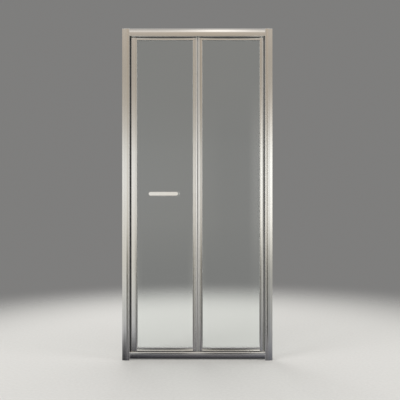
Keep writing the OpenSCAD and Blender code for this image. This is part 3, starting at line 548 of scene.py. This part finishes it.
glass = clear_glass("Clear toughened glass")
for name in ("pivot_glass", "lead_glass"):
    dress(name, glass, arris=0.0005)


# ---- Glazing gaskets ----
# Translucent pale seal that wraps the edge of each pane. Only its lip shows, and a painted highlight
# makes it whiter along the bottom rails.


def clear_vinyl(name, plain_above, painted_highlight_below):
    """Slightly cloudy soft vinyl that light passes through, with a painted highlight that whitens it
    below the heights given.
    """
    material, tree, shader, place = new_material(name)
    cloud = noise(tree, place, 60.0, 4.0)
    grain = noise(tree, place, 1500.0, 2.0)
    tone = tones(tree, cloud, (0.56, 0.575, 0.565), (0.62, 0.635, 0.625))
    # Painted highlight: the lip turns whiter towards the bottom rails
    rise = add_node(tree, "SeparateXYZ", {0: place}).outputs["Z"]
    painted_highlight = add_node(tree, "MapRange", {0: rise, 1: plain_above, 2: painted_highlight_below}).outputs[0]
    tone_with_painted_highlight = add_node(tree, "MixRGB", {0: painted_highlight, 1: tone, 2: (0.94, 0.94, 0.93, 1)}).outputs[0]
    gloss = spread(tree, grain, 0.3, 0.7, 0.22, 0.34)
    finish_surface(tree, shader, tone_with_painted_highlight, gloss, grain, 0.15, 0.00004)
    shader["Transmission Weight"].default_value = 0.40
    return material


vinyl = clear_vinyl("Translucent vinyl", plain_above=0.100, painted_highlight_below=0.072)
for name in ("pivot_glazing_gasket", "lead_glazing_gasket"):
    dress(name, vinyl, arris=0.0003)


# ---- Centre hinge ----
# A grey full-height strip with two sockets turns on the noses of both hinge
# stiles. Steel links and pins at its ends carry the load.

strip_plastic = moulded_plastic(
    "Grey hinge plastic", (0.34, 0.335, 0.325), (0.40, 0.395, 0.385), 0.32, 1600
)
dress("hinge_strip", strip_plastic)
plate_steel = turned_steel("Plated steel", (0.60, 0.595, 0.58), (0.70, 0.695, 0.68), 0.18, 0.3)
for name in ("hinge_link_top", "hinge_link_bottom", "pivot_hinge_pins", "lead_hinge_pins"):
    dress(name, plate_steel, arris=0.0002)


# ---- Pivot pins, guide pins and rollers ----
# Turned steel pins in the stile plugs, and nylon wheels that run in the
# tracks on the guide pins.

for name in ("top_pivot_pin", "bottom_pivot_pin", "top_guide_pin", "bottom_guide_pin"):
    dress(name, plate_steel, arris=0.0002)
for name in ("top_guide_roller", "bottom_guide_roller"):
    dress(name, nylon, arris=0.0002)


# ---- Handle ----
# A chromed capsule bar on each side of the leading pane, on round posts that
# are bolted together through the glass.


def chrome(name):
    """Mirror chrome on cast zinc, with the faintest orange peel and wiping marks."""
    material, tree, shader, place = new_material(name, metallic=1.0)
    peel = noise(tree, place, 240.0, 2.0)
    wiped = noise(tree, place, 38.0, 5.0)
    tone = tones(tree, wiped, (0.90, 0.895, 0.885), (0.93, 0.925, 0.915))
    gloss = spread(tree, wiped, 0.35, 0.75, 0.05, 0.12)
    finish_surface(tree, shader, tone, gloss, peel, 0.03, 0.00005)
    return material


handle_chrome = chrome("Polished chrome")


def capsule_bar(name, stands_for, back_y, front_y):
    """A handle bar: a flat capsule with rounded edges and a fine seam at each end."""
    middle_x, middle_z = -0.1935, 0.9526
    half_straight, half_height = 0.072, 0.013
    seam_x, seam_half, seam_depth = 0.0715, 0.0002, 0.0003
    edge_radius, tiny = 0.0034, 1e-6
    thickness = abs(front_y - back_y)
    flank = thickness - edge_radius
    way = 1 if front_y > back_y else -1
    upright = math.radians(90)
    mesh = bmesh.new()

    # Set-back from the outline and distance from the back face, round the bar's edge
    rim = [
        (0.0050, 0.0), (0.0016, 0.0), (0.0008, 0.0002), (0.0002, 0.0008), (0.0, 0.0016),
        (0.0, flank),
    ]
    for degrees in range(10, 91, 10):
        turn = math.radians(degrees)
        rim.append((edge_radius * (1 - math.cos(turn)), flank + edge_radius * math.sin(turn)))

    # Stations along the upper edge from left to right, as x from the middle and the arc's angle
    arc = range(0, 90, 5)
    left_half = [-half_straight, -seam_x - seam_half, -seam_x, -seam_x + seam_half, -0.05, -0.02]
    stations = [(-half_straight, math.radians(180 - degrees)) for degrees in arc]
    stations += [(x, upright) for x in left_half + [-x for x in reversed(left_half)]]
    stations += [(half_straight, math.radians(degrees)) for degrees in reversed(arc)]

    def chain(inset, depth, row):
        """Vertices at all stations; row runs from 1 on the upper edge to -1 on the lower one."""
        vertices = []
        for x, angle in stations:
            in_seam = angle == upright and abs(abs(x) - seam_x) < tiny
            groove = seam_depth if in_seam else 0.0
            sunk = -groove if depth > thickness / 2 else groove
            radius = half_height - inset - groove
            vertices.append(mesh.verts.new((
                middle_x + x + radius * math.cos(angle),
                back_y + way * (depth + sunk),
                middle_z + radius * math.sin(angle) * row,
            )))
        return vertices

    def skin(chains):
        """Faces between each chain and the next."""
        for one, two in zip(chains, chains[1:]):
            for i in range(len(one) - 1):
                mesh.faces.new((one[i], one[i + 1], two[i + 1], two[i]))

    upper, lower = ([chain(inset, depth, row) for inset, depth in rim] for row in (1, -1))
    for face in (0, -1):
        between = [chain(*rim[face], row) for row in (0.8, 0.4, 0, -0.4, -0.8)]
        skin([upper[face], *between, lower[face]])
    skin(upper)
    skin(lower)
    bmesh.ops.remove_doubles(mesh, verts=mesh.verts, dist=tiny)
    bmesh.ops.dissolve_degenerate(mesh, edges=mesh.edges, dist=tiny)
    bmesh.ops.recalc_face_normals(mesh, faces=mesh.faces)
    bar = bpy.data.objects.new(name, bpy.data.meshes.new(name))
    mesh.to_mesh(bar.data)
    mesh.free()
    scene.collection.objects.link(bar)
    bar.modifiers.new("Smooth", "NODES").node_group = smoothing
    bar.data.materials.append(handle_chrome)
    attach(bar, "lead_leaf")
    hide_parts(stands_for)


capsule_bar("outer_capsule_bar", "handle_outer_bar", -0.024, -0.036)
capsule_bar("inner_capsule_bar", "handle_inner_bar", 0.024, 0.036)
for name in ("handle_outer_posts", "handle_inner_posts"):
    dress(name, handle_chrome, arris=0.0004)

clear_plastic = moulded_plastic(
    "Clear washer plastic", (0.80, 0.81, 0.80), (0.86, 0.87, 0.86), 0.25, 900
)
dress("handle_washers", clear_plastic, arris=0.0002)
dress("handle_bolts", screw_steel, arris=0.0003)
